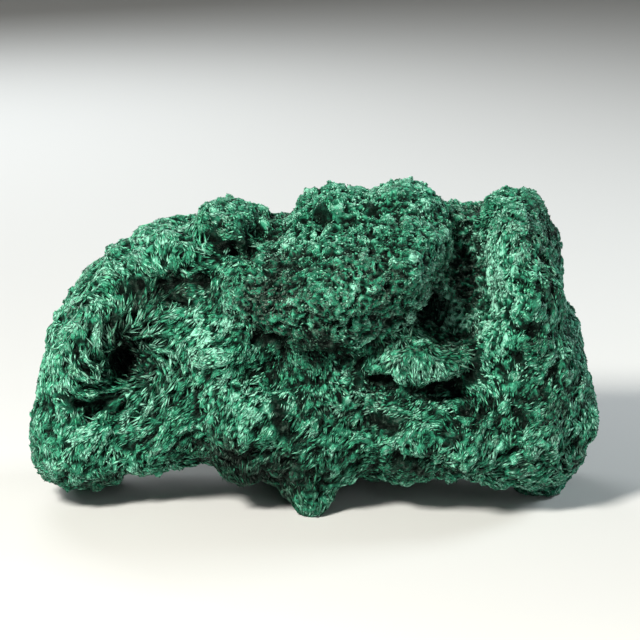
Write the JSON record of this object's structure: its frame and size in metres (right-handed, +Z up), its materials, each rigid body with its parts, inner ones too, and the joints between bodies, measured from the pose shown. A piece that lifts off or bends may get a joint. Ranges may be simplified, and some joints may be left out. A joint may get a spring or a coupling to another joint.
{
  "type": "malachite specimen",
  "caption": "Rough mineral specimen: a broad, rounded slab of fibrous green malachite with a deep recess, a funnel-shaped pit and worn feet.",
  "frame": {"origin": "centre of the bounding box in plan, on the surface that the specimen stands on", "axes": "+X along the longest side, to the right of the front face; +Y through the stone to its back; +Z up"},
  "size_m": [0.1194, 0.0628, 0.0665],
  "materials": {
    "malachite": "fibrous, silky to dull, with blackish green hollows"
  },
  "bodies": {
    "root": {"malachite_stone": "malachite"}
  },
  "joints": []
}
